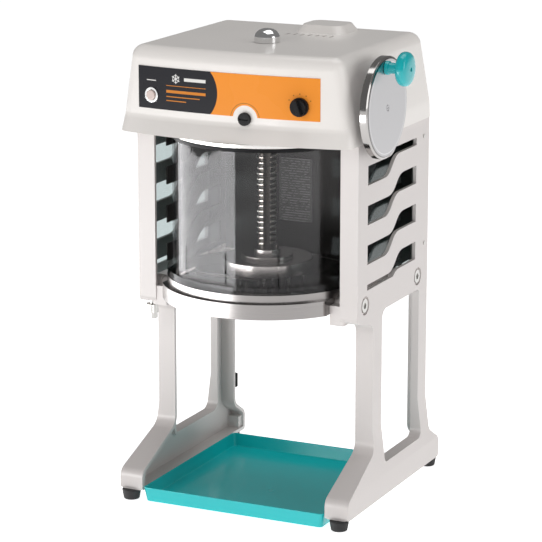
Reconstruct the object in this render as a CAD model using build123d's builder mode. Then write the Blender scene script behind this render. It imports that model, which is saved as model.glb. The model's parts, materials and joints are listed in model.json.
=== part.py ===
from build123d import *
import os
from math import asin, atan2, cos, degrees, radians, sin, sqrt

# Block ice shaver, in millimetres. X is to the right seen from the front, the front faces -Y,
# Z is up, and the origin is on the floor, midway between the four feet.

os.makedirs("parts", exist_ok=True)

# Fits
running_gap = 0.05  # radial gap of a shaft that turns or slides in its bore
free_gap = 0.3  # gap between pieces that must not touch
seat_gap = 0.03  # radial gap of a piece fixed on its seat
screw_gap = 0.2  # radial gap of a screw in a plain hole

# Side frames
frame_top = 520.0
frame_in = 139.0
frame_wide = 25.8
frame_out = frame_in + frame_wide
frame_wall = 5.0
lip_deep = 11.0
panel_front = -116.7
panel_rear = 131.7
panel_low = 276.0
leg_front = -61.7
leg_rear = -31.0
toe_front = -163.0
heel_rear = 164.0
foot_high = 14.0
rail_top = 60.0
window_top = 277.0
window_rear = 102.0
flare_out = 8.7
flare_start = 115.0
flare_end = 45.0
slot_front = -84.0
slot_rear = 86.0
slot_low = 316.0
slot_high = 496.5
slot_pitch = 54.2
slot_tall = 26.5
slot_rise = 24.8
slot_count = 4
wave_half = 27.0
liner_low = 313.0

# Feet
foot_x = frame_in + 19.5
foot_y = 158.0
foot_top_r = 13.5
foot_low_r = 11.0

# Ice table and chamber
screw_y = -50.0
cover_r = 130.0
table_low = 286.0
table_top = 307.0
table_r = cover_r + 15.0
table_side = frame_in - 15.5
table_rear = 112.0
table_skin = 9.0
ring_r = cover_r + 8.0
ring_high = 11.0
floor_r = cover_r - 4.0
floor_deep = 2.0
cover_wall = 2.5
cover_band_high = 9.7
cover_top = frame_top - 10.7
cover_span = 230.0
cover_slit_high = 42.0
cover_slit_wide = 2.4
band_top = frame_top - 5.5
table_screw_z = 296.5
table_screw_ys = (-90.0, 96.0)
table_screw_r = 4.0

# Blade and its adjuster
blade_slot = (-116.0, -14.0)
blade_slot_wide = 15.0
blade_travel = 1.0
knob_x = -frame_in - 14.0
knob_y = -101.0
lever_low = 279.0

# Feed screw and press plate
screw_r = 14.5
keyway_wide = 9.6
keyway_deep = 3.0
keyway_turn = 22.0
plate_r = 63.5
plate_low = 322.7
plate_thick = 18.0
hub_r = 36.0
hub_high = 4.5
collar_r = 18.0
collar_high = 7.0
spike_long = 15.0

# Head
head_x = -3.0
head_top = frame_top + 117.5
head_wall = 3.0
head_corner = 20.0
crown_round = 18.0
skirt_top = frame_top + 21.5
# Height, half width, foremost Y, front radius and rearmost Y of the head's three levels
lip_level = (frame_top, frame_out + 7.2, -176.5, 630.0, 140.0)
skirt_level = (skirt_top, frame_out + 6.2, -162.0, 870.0, 140.0)
crown_level = (head_top, frame_out - 9.8, -162.0, 870.0, 137.0)
base_thick = 4.0
cap_r = 17.7
cap_high = 18.0
hump_x = 30.0
hump_y = 84.0
hump_top = head_top + 10.5
gland_z = frame_top + 25.0
vent_count = 7
vent_pitch = 11.0

# Works inside the head
pulley_r = 80.0
pulley_low = frame_top + 6.0
pulley_wide = 12.0
belt_wide = 8.0
belt_thick = 3.0
motor_x = 30.0
motor_y = 78.0
motor_r = 46.0
motor_low = frame_top + 28.0
motor_high = 76.0
motor_pulley_r = 20.0
sleeve_r = 22.0
gear_module = 2.0
nut_teeth = 27
idler_teeth = 36
gear_low = frame_top + 22.0
gear_thick = 8.0
nut_top = frame_top + 68.0
bridge_low = nut_top + 2.0
bridge_thick = 4.0

# Handwheel
wheel_y = -79.0
wheel_z = frame_top + 46.0
wheel_back = frame_out + 13.9
wheel_face = wheel_back + 11.3
wheel_r = 68.4
wheel_face_r = 64.5
wheel_shaft_r = 6.0
pinion_teeth = 15
crown_teeth = 20
pinion_r = 13.25
crank_y = -87.3
crank_z = wheel_z + 54.4
crank_long = 36.0
crank_head_r = 22.8
crank_head_thick = 15.0
crank_stem_r = 4.6
crank_pin_r = 2.5

# Control panel
panel_left = -143.0
panel_right = 125.5
panel_z_low = frame_top + 34.0
panel_z_high = panel_z_low + 57.0
panel_thick = 0.8
button_x = -121.5
button_z = panel_z_low + 18.6
switch_x = 98.0
switch_z = panel_z_low + 18.4
selector_x = 21.0
selector_z = panel_z_low - 2.4
notch_r = 18.0

# Drip tray
tray_half = frame_in - 1.7
tray_front = -165.2
tray_rear = 119.9
tray_low = 0.3
tray_top = 20.7
tray_wall = 2.0
tray_draft = 3.0

sides = ((-1, "left"), (1, "right"))
base_top = frame_top + base_thick
floor_z = table_top - floor_deep
ring_top = table_top + ring_high
cover_low = ring_top + free_gap
plate_top = plate_low + plate_thick
screw_top = head_top + 2.0
face_y = skirt_level[2]
rear_y = skirt_level[4]
head_side = head_x + skirt_level[1]
face_r = skirt_level[3]


def keep(piece, label):
    piece.part.label = label
    export_step(piece.part, f"parts/{label}.step")


def level(height, x=0.0, y=0.0):
    return Plane(origin=(x, y, height), x_dir=(1, 0, 0), z_dir=(0, 0, 1))


def across(x, y=0.0, z=0.0):
    # Sketch plane square to X: sketch x runs along Y and sketch y along Z.
    return Plane(origin=(x, y, z), x_dir=(0, 1, 0), z_dir=(1, 0, 0))


def face_front(x, z, out=0.0):
    # Plane touching the bowed front of the head at x, its normal pointing out.
    turn = asin((x - head_x) / face_r)
    reach = face_r + out
    origin = (head_x + reach * sin(turn), face_y + face_r - reach * cos(turn), z)
    return Plane(origin=origin, x_dir=(cos(turn), sin(turn), 0), z_dir=(sin(turn), -cos(turn), 0))


def head_section(height, half, front, bow, rear, inset=0.0):
    half -= inset
    corner_y = front + bow - sqrt(bow * bow - half * half) + inset
    with BuildSketch(level(height, head_x)) as section:
        with BuildLine():
            ThreePointArc((-half, corner_y), (0, front + inset), (half, corner_y))
            Polyline((half, corner_y), (half, rear - inset), (-half, rear - inset), (-half, corner_y))
        make_face()
        fillet(section.vertices(), head_corner - inset)
    return section.sketch


def head_block(inset):
    # Bowed head with its motor hump; the hollow is the same block set in by the wall.
    top = crown_level[0] - inset
    hump = hump_top - inset
    with BuildPart() as block:
        loft(
            [
                head_section(*lip_level, inset),
                head_section(*skirt_level, inset),
                head_section(top, *crown_level[1:], inset),
            ],
            ruled=True,
        )
        fillet(block.faces().sort_by(Axis.Z)[-1].edges(), crown_round - inset)
        with BuildSketch(level(top - 12.0, hump_x, hump_y)):
            RectangleRounded(92.0 - 2 * inset, 84.0 - 2 * inset, 20.0 - inset)
        with BuildSketch(level(hump, hump_x, hump_y)):
            RectangleRounded(60.0 - inset, 52.0 - inset, 14.0 - inset)
        loft()
    return block.part


def outline():
    FilletPolyline(
        (panel_front, frame_top),
        (panel_front, panel_low),
        (leg_front, panel_low - 13.0),
        (leg_front, rail_top + 24.0),
        (toe_front, foot_high + 26.0),
        (toe_front, foot_high),
        (heel_rear, foot_high),
        (heel_rear, foot_high + 29.0),
        (panel_rear, rail_top + 3.0),
        (panel_rear, frame_top),
        radius=(0, 8, 16, 20, 14, 5, 5, 12, 14, 0),
        close=True,
    )


def window():
    FilletPolyline(
        (leg_rear, rail_top),
        (window_rear, rail_top),
        (window_rear, window_top),
        (leg_rear, window_top),
        radius=(6, 12, 6, 14),
        close=True,
    )


def wave_slots(grow=0.0):
    # Slots whose long edges step up towards the rear; the lowest and highest are cut short.
    with BuildSketch() as slots:
        for index in range(slot_count):
            high = slot_high - 10.0 - index * slot_pitch + grow
            low = high - slot_tall - 2 * grow
            with BuildLine():
                low_b = (-wave_half, low)
                low_c = (wave_half, low + slot_rise + 1)
                high_b = (wave_half + 14, high + slot_rise)
                high_c = (14 - wave_half, high)
                Bezier(low_b, (0, low), (0, low + slot_rise + 1), low_c)
                Bezier(high_b, (14, high + slot_rise), (14, high), high_c)
                Polyline(
                    low_c,
                    (slot_rear + 10, low + slot_rise + 1),
                    (slot_rear + 10, high + slot_rise),
                    high_b,
                )
                Polyline(high_c, (slot_front - 10, high), (slot_front - 10, low), low_b)
            make_face()
        with Locations(((slot_front + slot_rear) / 2, (slot_low + slot_high) / 2)):
            Rectangle(
                slot_rear - slot_front + 2 * grow,
                slot_high - slot_low + 2 * grow,
                mode=Mode.INTERSECT,
            )
    return slots.sketch


def gear_teeth(count, root, tip, root_wide, tip_wide, start=0.0):
    with PolarLocations(0, count, start_angle=start):
        Polygon(
            (root - 1.0, -root_wide / 2),
            (tip, -tip_wide / 2),
            (tip, tip_wide / 2),
            (root - 1.0, root_wide / 2),
            align=None,
        )


# ---------------------------------------------------------------- side frames
for side, hand in sides:
    with BuildPart() as side_frame:
        with BuildSketch(across(side * (frame_out - frame_wall))):
            with BuildLine():
                outline()
            make_face()
            with BuildLine(mode=Mode.PRIVATE) as opening:
                window()
            make_face(opening.line, mode=Mode.SUBTRACT)
        extrude(amount=side * (frame_wall + flare_out))
        with BuildSketch(across(side * frame_in)):
            with BuildLine():
                outline()
            make_face()
            offset(amount=-frame_wall, mode=Mode.SUBTRACT)
        extrude(amount=side * frame_wide)
        with BuildSketch(across(side * (frame_out - lip_deep))):
            with BuildLine():
                window()
            make_face()
            offset(amount=frame_wall)
            with BuildLine(mode=Mode.PRIVATE) as opening:
                window()
            make_face(opening.line, mode=Mode.SUBTRACT)
        extrude(amount=side * (lip_deep - frame_wall / 2))
        for screw_at in table_screw_ys:
            with BuildSketch(across(side * frame_in, screw_at, table_screw_z)):
                Circle(12.0)
            extrude(amount=side * (frame_wide - frame_wall / 2))
            with BuildSketch(across(side * table_side, screw_at, table_screw_z)):
                Circle(9.5)
            extrude(amount=side * (frame_out - table_side - frame_wall / 2))
        with BuildSketch(across(side * table_side, panel_front + 11.0, panel_low + 8.5)):
            Rectangle(18.0, 27.0)
        extrude(amount=side * (frame_in - table_side + frame_wall))
        for end in (-1, 1):
            with BuildSketch(level(foot_high, side * (foot_x - 3), end * (foot_y - 3))):
                Rectangle(27.0, 14.0)
            extrude(amount=22.0)
        with BuildSketch(Plane.XZ):
            Polygon(
                (side * frame_out, frame_top + 10),
                (side * frame_out, flare_start),
                (side * (frame_out + flare_out), flare_end),
                (side * (frame_out + flare_out + 10), flare_end),
                (side * (frame_out + flare_out + 10), frame_top + 10),
                align=None,
            )
        extrude(amount=heel_rear - toe_front, both=True, mode=Mode.SUBTRACT)
        with BuildSketch(across(side * (frame_out - 2 * frame_wall))):
            add(wave_slots())
        extrude(amount=side * 4 * frame_wall, mode=Mode.SUBTRACT)
        for screw_at in table_screw_ys:
            with BuildSketch(across(side * (frame_out - 3.0), screw_at, table_screw_z)):
                Circle(13.0)
            extrude(amount=side * 10.0, mode=Mode.SUBTRACT)
            with BuildSketch(across(side * (table_side - 1), screw_at, table_screw_z)):
                Circle(table_screw_r + screw_gap)
            extrude(amount=side * 60.0, mode=Mode.SUBTRACT)
        for dot_y, dot_z in ((112.5, 494.0), (118.3, 340.0)):
            with BuildSketch(across(side * (frame_out - 2 * frame_wall), dot_y, dot_z)):
                Circle(1.7)
            extrude(amount=side * 4 * frame_wall, mode=Mode.SUBTRACT)
        if side < 0:
            with BuildSketch(level(panel_low - 20, knob_x, knob_y)):
                Circle(3.0 + screw_gap)
            extrude(amount=30.0, mode=Mode.SUBTRACT)
        for screw_at in (-95.0, 110.0):
            with BuildSketch(level(frame_top - 20, side * (frame_in + 13.0), screw_at)):
                Circle(2.2)
            extrude(amount=30.0, mode=Mode.SUBTRACT)
    keep(side_frame, f"side_frame_{hand}")

    # Dark liner and clear sheet that close the frame's hollow behind the slots
    for start, thick, grow, label in ((0.6, 2.0, 1.5, "side_liner"), (3.0, 1.5, None, "side_window")):
        with BuildPart() as liner:
            with BuildSketch(across(side * (frame_in + start))):
                with Locations(((panel_front + panel_rear) / 2, (frame_top - 6.0 + liner_low) / 2)):
                    Rectangle(panel_rear - panel_front - 2 * frame_wall - 0.8, frame_top - 6.0 - liner_low)
                if grow is not None:
                    add(wave_slots(grow), mode=Mode.SUBTRACT)
            extrude(amount=side * thick)
        keep(liner, f"{label}_{hand}")

for end, end_name in ((-1, "front"), (1, "rear")):
    for side, hand in sides:
        with BuildPart() as foot:
            with BuildSketch(level(0, side * foot_x, end * foot_y)):
                Circle(foot_low_r)
            with BuildSketch(level(foot_high, side * foot_x, end * foot_y)):
                Circle(foot_top_r)
            loft()
        keep(foot, f"foot_{end_name}_{hand}")

with BuildPart() as table_screws:
    for side, hand in sides:
        for screw_at in table_screw_ys:
            with BuildSketch(across(side * 108.0, screw_at, table_screw_z)):
                Circle(table_screw_r)
            extrude(amount=side * (frame_out - 3.0 - 108.0))
            with BuildSketch(across(side * (frame_out - 3.0), screw_at, table_screw_z)):
                Circle(9.5)
                RegularPolygon(4.0, 6, major_radius=False, mode=Mode.SUBTRACT)
            extrude(amount=side * 2.6)
            with BuildSketch(across(side * (frame_out - 3.0), screw_at, table_screw_z)):
                Circle(9.5)
            extrude(amount=side * 0.8)
keep(table_screws, "table_screws")

with BuildPart() as frame_screws:
    for side, hand in sides:
        for dot_y, dot_z in ((112.5, 494.0), (118.3, 340.0)):
            with BuildSketch(across(side * frame_out, dot_y, dot_z)):
                Circle(3.0)
            extrude(amount=side * 1.2)
            with BuildSketch(across(side * (frame_out - frame_wall), dot_y, dot_z)):
                Circle(1.5)
            extrude(amount=side * frame_wall)
keep(frame_screws, "frame_screws")

# ---------------------------------------------------------------- ice table
with BuildPart() as ice_table:
    with BuildSketch(level(table_low)):
        with Locations((0, screw_y)):
            Circle(table_r)
        with Locations((0, (screw_y + table_rear) / 2)):
            Rectangle(2 * table_r, table_rear - screw_y)
        with Locations((0, screw_y)):
            Rectangle(2 * table_side, 4 * table_r, mode=Mode.INTERSECT)
    extrude(amount=table_top - table_low)
    with BuildSketch(level(table_top, 0, screw_y)):
        Circle(ring_r)
    extrude(amount=ring_high)
    with BuildSketch(level(floor_z, 0, screw_y)):
        Circle(floor_r)
    extrude(amount=40.0, mode=Mode.SUBTRACT)
    with BuildSketch(level(table_low)):
        with Locations((0, screw_y)):
            Circle(table_r - 12.0)
        with Locations((0, screw_y / 2 + table_rear / 2 - 6.0)):
            Rectangle(2 * table_r, table_rear - screw_y - 12.0)
        with Locations((0, screw_y)):
            Rectangle(2 * table_side - 34.0, 4 * table_r, mode=Mode.INTERSECT)
    extrude(amount=table_top - table_low - table_skin - floor_deep, mode=Mode.SUBTRACT)
    with BuildSketch(level(table_low, (blade_slot[0] + blade_slot[1]) / 2, screw_y)):
        Rectangle(blade_slot[1] - blade_slot[0], blade_slot_wide)
    extrude(amount=40.0, mode=Mode.SUBTRACT)
    with BuildSketch(level(table_low, -115.0, screw_y)):
        Rectangle(26.0, 34.0)
    extrude(amount=table_top - table_low - table_skin - floor_deep, mode=Mode.SUBTRACT)
    for side, hand in sides:
        for screw_at in table_screw_ys:
            with BuildSketch(across(side * 107.5, screw_at, table_screw_z)):
                Circle(table_screw_r + running_gap)
            extrude(amount=side * 20.0, mode=Mode.SUBTRACT)
keep(ice_table, "ice_table")

with BuildPart() as back_plate:
    with BuildSketch(level(table_top, 0, 101.0)):
        Rectangle(2 * frame_in - 1.0, 2.0)
    extrude(amount=frame_top - table_top)
keep(back_plate, "back_plate")

with BuildPart() as notice_plate:
    with BuildSketch(Plane(origin=(-26.0, 100.0, 403.0), x_dir=(1, 0, 0), z_dir=(0, -1, 0))):
        Rectangle(52.0, 92.0)
    extrude(amount=0.5)
keep(notice_plate, "notice_plate")

# ---------------------------------------------------------------- chamber cover
half_span = cover_span / 2
with BuildPart() as chamber_cover:
    with BuildSketch(level(cover_low, 0, screw_y)):
        Circle(ring_r - free_gap)
        Circle(cover_r - cover_wall, mode=Mode.SUBTRACT)
    extrude(amount=cover_band_high)
    with BuildSketch(level(cover_low, 0, screw_y)):
        Circle(cover_r)
        Circle(cover_r - cover_wall, mode=Mode.SUBTRACT)
    extrude(amount=cover_top - cover_low)
    with BuildSketch(level(cover_low, 0, screw_y)):
        reach = 3 * cover_r
        Polygon(
            (0, 0),
            (reach * sin(radians(half_span)), -reach * cos(radians(half_span))),
            (0, reach),
            (-reach * sin(radians(half_span)), -reach * cos(radians(half_span))),
            align=None,
        )
    extrude(amount=cover_top - cover_low, mode=Mode.SUBTRACT)
    for turn in (-64, -32, 0, 32, 64):
        with BuildSketch(
            Plane(
                origin=(0, screw_y, cover_low + cover_band_high + cover_slit_high / 2),
                x_dir=(cos(radians(turn)), sin(radians(turn)), 0),
                z_dir=(sin(radians(turn)), -cos(radians(turn)), 0),
            )
        ):
            Rectangle(cover_slit_wide, cover_slit_high)
        extrude(amount=cover_r + 2, mode=Mode.SUBTRACT)
keep(chamber_cover, "chamber_cover")

with BuildPart() as guide_band:
    with BuildSketch(level(cover_top + free_gap, 0, screw_y)):
        Circle(cover_r + 0.5)
        Circle(cover_r - 6.0, mode=Mode.SUBTRACT)
    extrude(amount=band_top - cover_top - free_gap)
keep(guide_band, "guide_band")

with BuildPart() as chamber_ring:
    with BuildSketch(level(band_top, 0, screw_y)):
        Circle(cover_r - 0.5)
        Circle(cover_r - 20.0, mode=Mode.SUBTRACT)
    extrude(amount=frame_top - band_top)
keep(chamber_ring, "chamber_ring")

# ---------------------------------------------------------------- blade
slot_mid = (blade_slot[0] + blade_slot[1]) / 2
slot_long = blade_slot[1] - blade_slot[0]
with BuildPart() as blade_holder:
    with BuildSketch(across(blade_slot[0] + 2.0, screw_y, table_low)):
        Polygon((0.6, 1.0), (16.0, 1.0), (16.0, 7.0), (0.6, 7.0), align=None)
        Polygon((2.8, 6.0), (7.2, 6.0), (7.2, 16.0), (5.9, 16.0), align=None)
    extrude(amount=slot_long - 4.0)
    # Lever from the holder to the adjusting screw
    with BuildSketch(level(lever_low)):
        with BuildLine():
            Polyline(
                (-104.0, screw_y - 8.0),
                (-104.0, screw_y + 6.0),
                (-118.0, screw_y + 6.0),
                (knob_x - 6.0, knob_y + 9.0),
                (knob_x - 6.0, knob_y - 5.0),
                (knob_x + 6.0, knob_y - 5.0),
                (knob_x + 6.0, knob_y + 7.0),
                close=True,
            )
        make_face()
        with Locations((knob_x, knob_y)):
            Circle(3.0 + running_gap, mode=Mode.SUBTRACT)
    extrude(amount=4.0)
    with BuildSketch(level(lever_low, -109.0, screw_y + 4.0)):
        Rectangle(8.0, 4.0)
    extrude(amount=table_low + 2.0 - lever_low)
keep(blade_holder, "blade_holder")

with BuildPart() as blade:
    with BuildSketch(across(blade_slot[0] + 3.0, screw_y, table_low)):
        Polygon(
            (0.2, 7.0), (2.4, 7.0), (6.2, 18.7), (5.2, 18.7), (0.2, 12.0), align=None
        )
    extrude(amount=slot_long - 6.0)
keep(blade, "blade")

with BuildPart() as adjuster:
    with BuildSketch(level(248.0, knob_x, knob_y)):
        Circle(7.3)
    extrude(amount=8.0)
    with BuildSketch(level(256.0, knob_x, knob_y)):
        Circle(9.0)
        with PolarLocations(9.6, 12):
            Circle(1.2, mode=Mode.SUBTRACT)
    extrude(amount=12.0)
    with BuildSketch(level(268.0, knob_x, knob_y)):
        Circle(3.0)
    extrude(amount=17.5)
keep(adjuster, "adjuster")

# ---------------------------------------------------------------- press plate and feed screw
with BuildPart() as press_plate:
    with BuildSketch(level(plate_low, 0, screw_y)):
        Circle(plate_r)
    extrude(amount=plate_thick)
    chamfer(press_plate.edges().filter_by(GeomType.CIRCLE), 1.0)
keep(press_plate, "press_plate")

with BuildPart() as plate_spikes:
    for ring, count in ((52.0, 9), (30.0, 6), (10.0, 3)):
        with BuildSketch(level(plate_low, 0, screw_y)):
            with PolarLocations(ring, count, start_angle=10):
                Circle(3.2)
        extrude(amount=-spike_long, taper=11.0)
keep(plate_spikes, "plate_spikes")

with BuildPart() as plate_hub:
    with BuildSketch(level(plate_top, 0, screw_y)):
        Circle(hub_r)
    extrude(amount=hub_high)
    with BuildSketch(level(plate_top + hub_high, 0, screw_y)):
        Circle(collar_r)
    extrude(amount=collar_high)
    with BuildSketch(level(plate_top, 0, screw_y)):
        Circle(screw_r - 2.0 + seat_gap)
    extrude(amount=hub_high + collar_high, mode=Mode.SUBTRACT)
keep(plate_hub, "plate_hub")

key_dir = (sin(radians(keyway_turn)), -cos(radians(keyway_turn)), 0)
key_side = (cos(radians(keyway_turn)), sin(radians(keyway_turn)), 0)
thread_low = plate_top + hub_high + collar_high
with BuildPart() as feed_screw:
    with BuildSketch(level(plate_top, 0, screw_y)):
        Circle(screw_r - 2.0)
    extrude(amount=thread_low - plate_top)
    with BuildSketch(level(thread_low, 0, screw_y)):
        Circle(screw_r)
    extrude(amount=screw_top - thread_low)
    with BuildSketch(
        Plane(origin=(0, screw_y, thread_low), x_dir=key_side, z_dir=(0, 0, 1))
    ):
        with Locations((0, -screw_r)):
            Rectangle(keyway_wide, 2 * keyway_deep)
    extrude(amount=screw_top - thread_low, mode=Mode.SUBTRACT)
keep(feed_screw, "feed_screw")

with BuildPart() as dome_cap:
    with BuildSketch(Plane(origin=(0, screw_y, head_top + free_gap), x_dir=(1, 0, 0), z_dir=(0, -1, 0))):
        with BuildLine():
            Line((0, screw_top - head_top - free_gap), (0, cap_high))
            ThreePointArc((0, cap_high), (cap_r * 0.72, cap_high * 0.82), (cap_r, cap_high * 0.42))
            Line((cap_r, cap_high * 0.42), (cap_r, 0))
            Line((cap_r, 0), (screw_r + 0.4, 0))
            Line((screw_r + 0.4, 0), (screw_r + 0.4, screw_top - head_top - free_gap))
            Line((screw_r + 0.4, screw_top - head_top - free_gap), (0, screw_top - head_top - free_gap))
        make_face()
    revolve(axis=Axis((0, screw_y, 0), (0, 0, 1)))
keep(dome_cap, "dome_cap")

# ---------------------------------------------------------------- head
base_gap = head_wall + 3.5
with BuildPart() as base_plate:
    extrude(head_section(*lip_level[:4], crown_level[4], base_gap), amount=base_thick)
    with BuildSketch(level(frame_top, 0, screw_y)):
        Circle(sleeve_r + 5.0)
    extrude(amount=base_thick, mode=Mode.SUBTRACT)
    with BuildSketch(level(frame_top)):
        with Locations(*[(side * (frame_in + 13.0), at) for side, hand in sides for at in (-95.0, 110.0)]):
            Circle(2.2)
    extrude(amount=base_thick, mode=Mode.SUBTRACT)
keep(base_plate, "base_plate")

with BuildPart() as plate_screws:
    for side, hand in sides:
        for at in (-95.0, 110.0):
            with BuildSketch(level(frame_top - frame_wall, side * (frame_in + 13.0), at)):
                Circle(2.0)
            extrude(amount=frame_wall + base_thick)
            with BuildSketch(level(base_top, side * (frame_in + 13.0), at)):
                Circle(3.8)
            extrude(amount=2.4)
keep(plate_screws, "plate_screws")

with BuildPart() as head_cover:
    add(head_block(0.0))
    add(head_block(head_wall), mode=Mode.SUBTRACT)
    with BuildSketch(level(head_top - 10, 0, screw_y)):
        Circle(screw_r + 1.5)
    extrude(amount=20.0, mode=Mode.SUBTRACT)
    with BuildSketch(level(head_top - 10, 26.0, 32.0)):
        with GridLocations(vent_pitch, 1, vent_count, 1):
            SlotCenterToCenter(12.0, 3.0, rotation=90)
    extrude(amount=20.0, mode=Mode.SUBTRACT)
    with BuildSketch(across(head_side - 25.0, wheel_y, wheel_z)):
        Circle(11.2)
    extrude(amount=40.0, mode=Mode.SUBTRACT)
    with BuildSketch(face_front(button_x, button_z, 3.0)):
        Circle(7.1)
    extrude(amount=-8.0, mode=Mode.SUBTRACT)
    with BuildSketch(face_front(switch_x, switch_z, 3.0)):
        Circle(3.3)
    extrude(amount=-8.0, mode=Mode.SUBTRACT)
    with BuildSketch(face_front(selector_x, selector_z, 3.0)):
        Circle(3.8)
    extrude(amount=-8.0, mode=Mode.SUBTRACT)
    with BuildSketch(Plane(origin=(-100.0, rear_y - 12, gland_z), x_dir=(1, 0, 0), z_dir=(0, 1, 0))):
        Circle(9.2)
    extrude(amount=20.0, mode=Mode.SUBTRACT)
keep(head_cover, "head_cover")

# ---------------------------------------------------------------- control panel
plate_back = face_r + seat_gap
with BuildPart() as control_plate:
    with BuildSketch(level(panel_z_low, head_x, face_y + face_r)):
        Circle(plate_back + panel_thick)
        Circle(plate_back, mode=Mode.SUBTRACT)
        with Locations(((panel_left + panel_right) / 2 - head_x, -face_r)):
            Rectangle(panel_right - panel_left, 60.0, mode=Mode.INTERSECT)
    extrude(amount=panel_z_high - panel_z_low)
    for hole_x, hole_z, hole_r in (
        (selector_x, selector_z, notch_r),
        (button_x, button_z, 10.5 + screw_gap),
        (switch_x, switch_z, 3.3),
    ):
        with BuildSketch(face_front(hole_x, hole_z, -5.0)):
            Circle(hole_r)
        extrude(amount=10.0, mode=Mode.SUBTRACT)
keep(control_plate, "control_plate")

with BuildPart() as lamp_ring:
    with BuildSketch(face_front(button_x, button_z)):
        Circle(10.5)
        Circle(7.1, mode=Mode.SUBTRACT)
    extrude(amount=2.2)
keep(lamp_ring, "lamp_ring")

button_stem_r = 3.5
with BuildPart() as start_button:
    with BuildSketch(face_front(button_x, button_z, -4.0)):
        Circle(6.8)
    extrude(amount=8.6)
    with BuildSketch(face_front(button_x, button_z, -16.0)):
        Circle(button_stem_r)
    extrude(amount=12.0)
    fillet(start_button.edges().filter_by(GeomType.CIRCLE).sort_by(Axis.Y)[0], 1.0)
keep(start_button, "start_button")

with BuildPart() as button_body:
    with BuildSketch(face_front(button_x, button_z, -9.0)):
        Rectangle(22.0, 22.0)
    extrude(amount=-20.0)
    with BuildSketch(face_front(button_x, button_z, -9.0)):
        Circle(button_stem_r + running_gap)
    extrude(amount=-14.0, mode=Mode.SUBTRACT)
    # Two side ears reach the back of the head's front wall
    with BuildSketch(face_front(button_x, button_z, -9.0)):
        with GridLocations(19.0, 1, 2, 1):
            Rectangle(3.0, 22.0)
    extrude(amount=9.0 - head_wall - free_gap)
keep(button_body, "button_body")

with BuildPart() as switch_knob:
    with BuildSketch(face_front(switch_x, switch_z, panel_thick + free_gap)):
        Circle(12.5)
    extrude(amount=5.0)
    with BuildSketch(face_front(switch_x, switch_z, panel_thick + free_gap)):
        Circle(10.3)
    extrude(amount=9.0)
    with BuildSketch(face_front(switch_x, switch_z, panel_thick + free_gap)):
        Rectangle(5.0, 21.0, rotation=20)
    extrude(amount=15.0)
    with BuildSketch(face_front(switch_x, switch_z, -22.0)):
        Circle(3.0)
    extrude(amount=22.0 + panel_thick + free_gap)
keep(switch_knob, "switch_knob")

with BuildPart() as switch_body:
    with BuildSketch(face_front(switch_x, switch_z, -head_wall - free_gap)):
        Rectangle(28.0, 28.0)
        Circle(3.0 + running_gap, mode=Mode.SUBTRACT)
    extrude(amount=-24.0)
keep(switch_body, "switch_body")

with BuildPart() as feed_selector:
    with BuildSketch(face_front(selector_x, selector_z, free_gap)):
        Circle(8.8)
    extrude(amount=5.0)
    with BuildSketch(face_front(selector_x, selector_z, free_gap + 3.5)):
        Rectangle(13.0, 2.0)
    extrude(amount=4.0, mode=Mode.SUBTRACT)
    with BuildSketch(face_front(selector_x, selector_z, -12.0)):
        Circle(3.5)
    extrude(amount=12.0 + free_gap)
keep(feed_selector, "feed_selector")

# ---------------------------------------------------------------- drive
with BuildPart() as sleeve_bearing:
    with BuildSketch(level(band_top, 0, screw_y)):
        Circle(sleeve_r + 4.9)
        Circle(sleeve_r + running_gap, mode=Mode.SUBTRACT)
    extrude(amount=base_top - band_top)
keep(sleeve_bearing, "sleeve_bearing")

pulley_top = pulley_low + pulley_wide
with BuildPart() as drive_sleeve:
    with BuildSketch(level(band_top - 2.5, 0, screw_y)):
        Circle(sleeve_r)
        Circle(screw_r + running_gap, mode=Mode.SUBTRACT)
    extrude(amount=pulley_top + 2.0 - band_top + 2.5)
    with BuildSketch(Plane(origin=(0, screw_y, band_top - 2.5), x_dir=key_side, z_dir=(0, 0, 1))):
        with Locations((0, -(screw_r - keyway_deep + 0.2 + sleeve_r - 2.0) / 2)):
            Rectangle(keyway_wide - 0.2, sleeve_r - 2.0 - screw_r + keyway_deep - 0.2)
    extrude(amount=pulley_top + 2.0 - band_top + 2.5)
keep(drive_sleeve, "drive_sleeve")

with BuildPart() as drive_pulley:
    with BuildSketch(level(pulley_low, 0, screw_y)):
        Circle(pulley_r)
        Circle(sleeve_r + seat_gap, mode=Mode.SUBTRACT)
        with PolarLocations(50.0, 6):
            Circle(14.0, mode=Mode.SUBTRACT)
    extrude(amount=pulley_wide)
    for flange_low in (pulley_low, pulley_top - 1.6):
        with BuildSketch(level(flange_low, 0, screw_y)):
            Circle(pulley_r + belt_thick + 1.0)
            Circle(pulley_r - 4.0, mode=Mode.SUBTRACT)
        extrude(amount=1.6)
keep(drive_pulley, "drive_pulley")

with BuildPart() as motor_pulley:
    with BuildSketch(level(pulley_low, motor_x, motor_y)):
        Circle(motor_pulley_r)
        Circle(6.0 + seat_gap, mode=Mode.SUBTRACT)
    extrude(amount=pulley_wide)
    for flange_low in (pulley_low, pulley_top - 1.6):
        with BuildSketch(level(flange_low, motor_x, motor_y)):
            Circle(motor_pulley_r + belt_thick + 1.0)
            Circle(motor_pulley_r - 4.0, mode=Mode.SUBTRACT)
        extrude(amount=1.6)
keep(motor_pulley, "motor_pulley")

with BuildPart() as drive_belt:
    with BuildSketch(level(pulley_low + (pulley_wide - belt_wide) / 2)):
        for grow, how in ((free_gap + belt_thick, Mode.ADD), (free_gap, Mode.SUBTRACT)):
            with BuildSketch(Plane.XY, mode=how):
                with Locations((0, screw_y)):
                    Circle(pulley_r + grow)
                with Locations((motor_x, motor_y)):
                    Circle(motor_pulley_r + grow)
                make_hull()
    extrude(amount=belt_wide)
keep(drive_belt, "drive_belt")

with BuildPart() as motor_shaft:
    with BuildSketch(level(base_top + 1.0, motor_x, motor_y)):
        Circle(6.0)
    extrude(amount=motor_low + 40.0 - base_top - 1.0)
keep(motor_shaft, "motor_shaft")

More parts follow.
